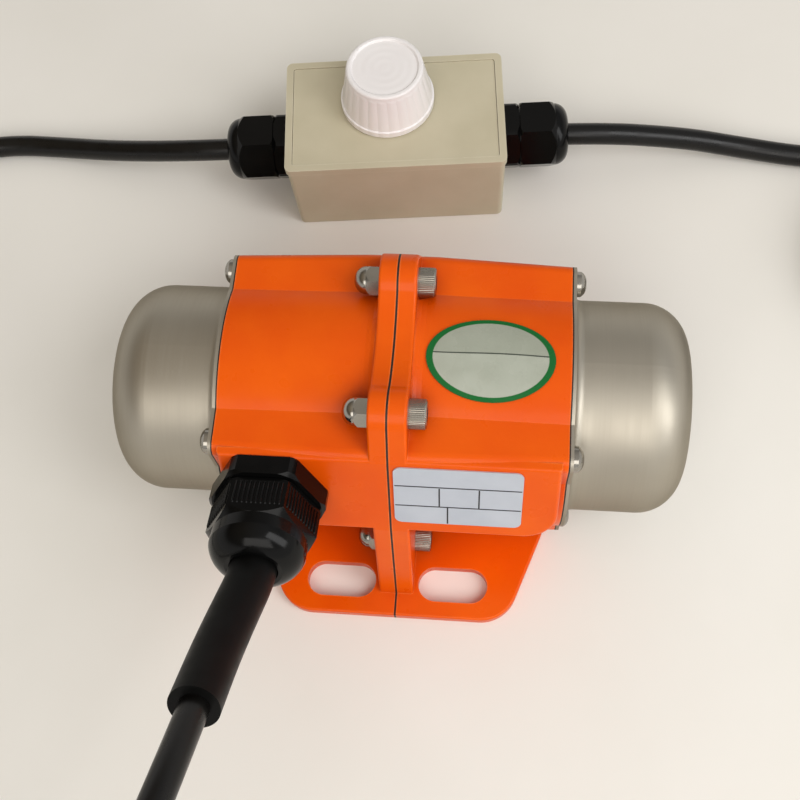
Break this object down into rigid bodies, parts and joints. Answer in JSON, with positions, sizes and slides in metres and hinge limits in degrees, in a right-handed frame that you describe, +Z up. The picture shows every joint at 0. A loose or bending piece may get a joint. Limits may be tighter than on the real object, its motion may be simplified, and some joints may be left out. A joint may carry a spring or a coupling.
{
  "type": "vibration motor",
  "caption": "Foot-mounted vibration motor with eccentric weights under drawn end covers, a cable gland on its sloping pad, and an in-line speed controller on its lead.",
  "frame": {"origin": "midway between the four foot slots, on the mounting plane under the foot", "axes": "+X along the shaft, away from the cable gland's end; +Z up out of the mounting plane; -Y towards the sloping pads with the gland and the plate"},
  "size_m": [0.4407, 0.3339, 0.1215],
  "materials": {
    "orange_paint": "gloss",
    "cover_metal": "satin",
    "gasket": "matte",
    "fastener_steel": "gloss",
    "lamination_steel": "satin",
    "winding_copper": "gloss",
    "cage_aluminium": "satin",
    "shaft_steel": "satin",
    "bearing_steel": "gloss",
    "weight_steel": "satin",
    "gland_plastic": "satin",
    "cord_rubber": "satin",
    "plate_metal": "satin",
    "sticker_film": "gloss",
    "case_plastic": "matte",
    "knob_plastic": "satin",
    "board_plastic": "satin",
    "component_plastic": "matte",
    "pin_brass": "gloss"
  },
  "bodies": {
    "housing_and_leads": {"left_housing": "orange_paint", "right_housing": "orange_paint", "flange_gasket": "gasket", "left_cover_gasket": "gasket", "right_cover_gasket": "gasket", "left_end_cover": "cover_metal", "right_end_cover": "cover_metal", "left_cover_screws": "fastener_steel", "right_cover_screws": "fastener_steel", "flange_cap_screws": "fastener_steel", "flange_acorn_nuts": "fastener_steel", "stator_core": "lamination_steel", "stator_windings": "winding_copper", "left_bearing_outer_race": "bearing_steel", "right_bearing_outer_race": "bearing_steel", "motor_gland_body": "gland_plastic", "motor_gland_nut": "gland_plastic", "motor_gland_seal": "gasket", "cable_sleeve": "cord_rubber", "motor_lead": "cord_rubber", "rating_plate": "plate_metal", "inspection_sticker": "sticker_film", "controller_case": "case_plastic", "controller_lid": "case_plastic", "potentiometer_body": "component_plastic", "potentiometer_nut": "fastener_steel", "circuit_board": "board_plastic", "run_capacitor": "component_plastic", "triac": "component_plastic", "controller_left_gland": "gland_plastic", "controller_right_gland": "gland_plastic", "controller_left_gland_nut": "gland_plastic", "controller_right_gland_nut": "gland_plastic", "controller_gland_seals": "gasket", "controller_gland_locknuts": "gland_plastic", "supply_lead": "cord_rubber", "supply_coil": "cord_rubber", "supply_tail": "cord_rubber", "plug_body": "cord_rubber", "plug_pins": "pin_brass"},
    "rotor": {"shaft": "shaft_steel", "rotor_core": "lamination_steel", "rotor_cage": "cage_aluminium", "left_bearing_inner_race": "bearing_steel", "right_bearing_inner_race": "bearing_steel", "left_fixed_weight": "weight_steel", "right_fixed_weight": "weight_steel", "fixed_weight_screws": "fastener_steel", "shaft_retaining_rings": "fastener_steel"},
    "left_ball_set": {"left_bearing_balls": "bearing_steel", "left_bearing_cage": "cage_aluminium"},
    "right_ball_set": {"right_bearing_balls": "bearing_steel", "right_bearing_cage": "cage_aluminium"},
    "left_adjustable_weight": {"left_adjustable_weight": "weight_steel", "left_adjustable_weight_screw": "fastener_steel"},
    "right_adjustable_weight": {"right_adjustable_weight": "weight_steel", "right_adjustable_weight_screw": "fastener_steel"},
    "speed_knob": {"controller_knob": "knob_plastic", "potentiometer_shaft": "cage_aluminium"}
  },
  "joints": [
    {"name": "rotor_spin", "type": "hinge", "parent": "housing_and_leads", "child": "rotor", "pos_m": [0, 0, 0.0385], "axis": [1, 0, 0], "continuous": true},
    {"name": "left_ball_set_spin", "type": "hinge", "parent": "housing_and_leads", "child": "left_ball_set", "pos_m": [-0.0425, 0, 0.0385], "axis": [1, 0, 0], "continuous": true},
    {"name": "right_ball_set_spin", "type": "hinge", "parent": "housing_and_leads", "child": "right_ball_set", "pos_m": [0.0425, 0, 0.0385], "axis": [1, 0, 0], "continuous": true},
    {"name": "left_weight_setting", "type": "hinge", "parent": "rotor", "child": "left_adjustable_weight", "pos_m": [-0.0656, 0, 0.0385], "axis": [1, 0, 0], "range_deg": [0, 180]},
    {"name": "right_weight_setting", "type": "hinge", "parent": "rotor", "child": "right_adjustable_weight", "pos_m": [0.0656, 0, 0.0385], "axis": [1, 0, 0], "range_deg": [0, 180]},
    {"name": "speed_knob_turn", "type": "hinge", "parent": "housing_and_leads", "child": "speed_knob", "pos_m": [-0.01346, 0.11328, 0.0349], "axis": [0, 0, 1], "range_deg": [-150, 150]}
  ],
  "couplings": [
    {"joint": "left_ball_set_spin", "follows": "rotor_spin", "ratio": 0.3648},
    {"joint": "right_ball_set_spin", "follows": "rotor_spin", "ratio": 0.3648}
  ]
}
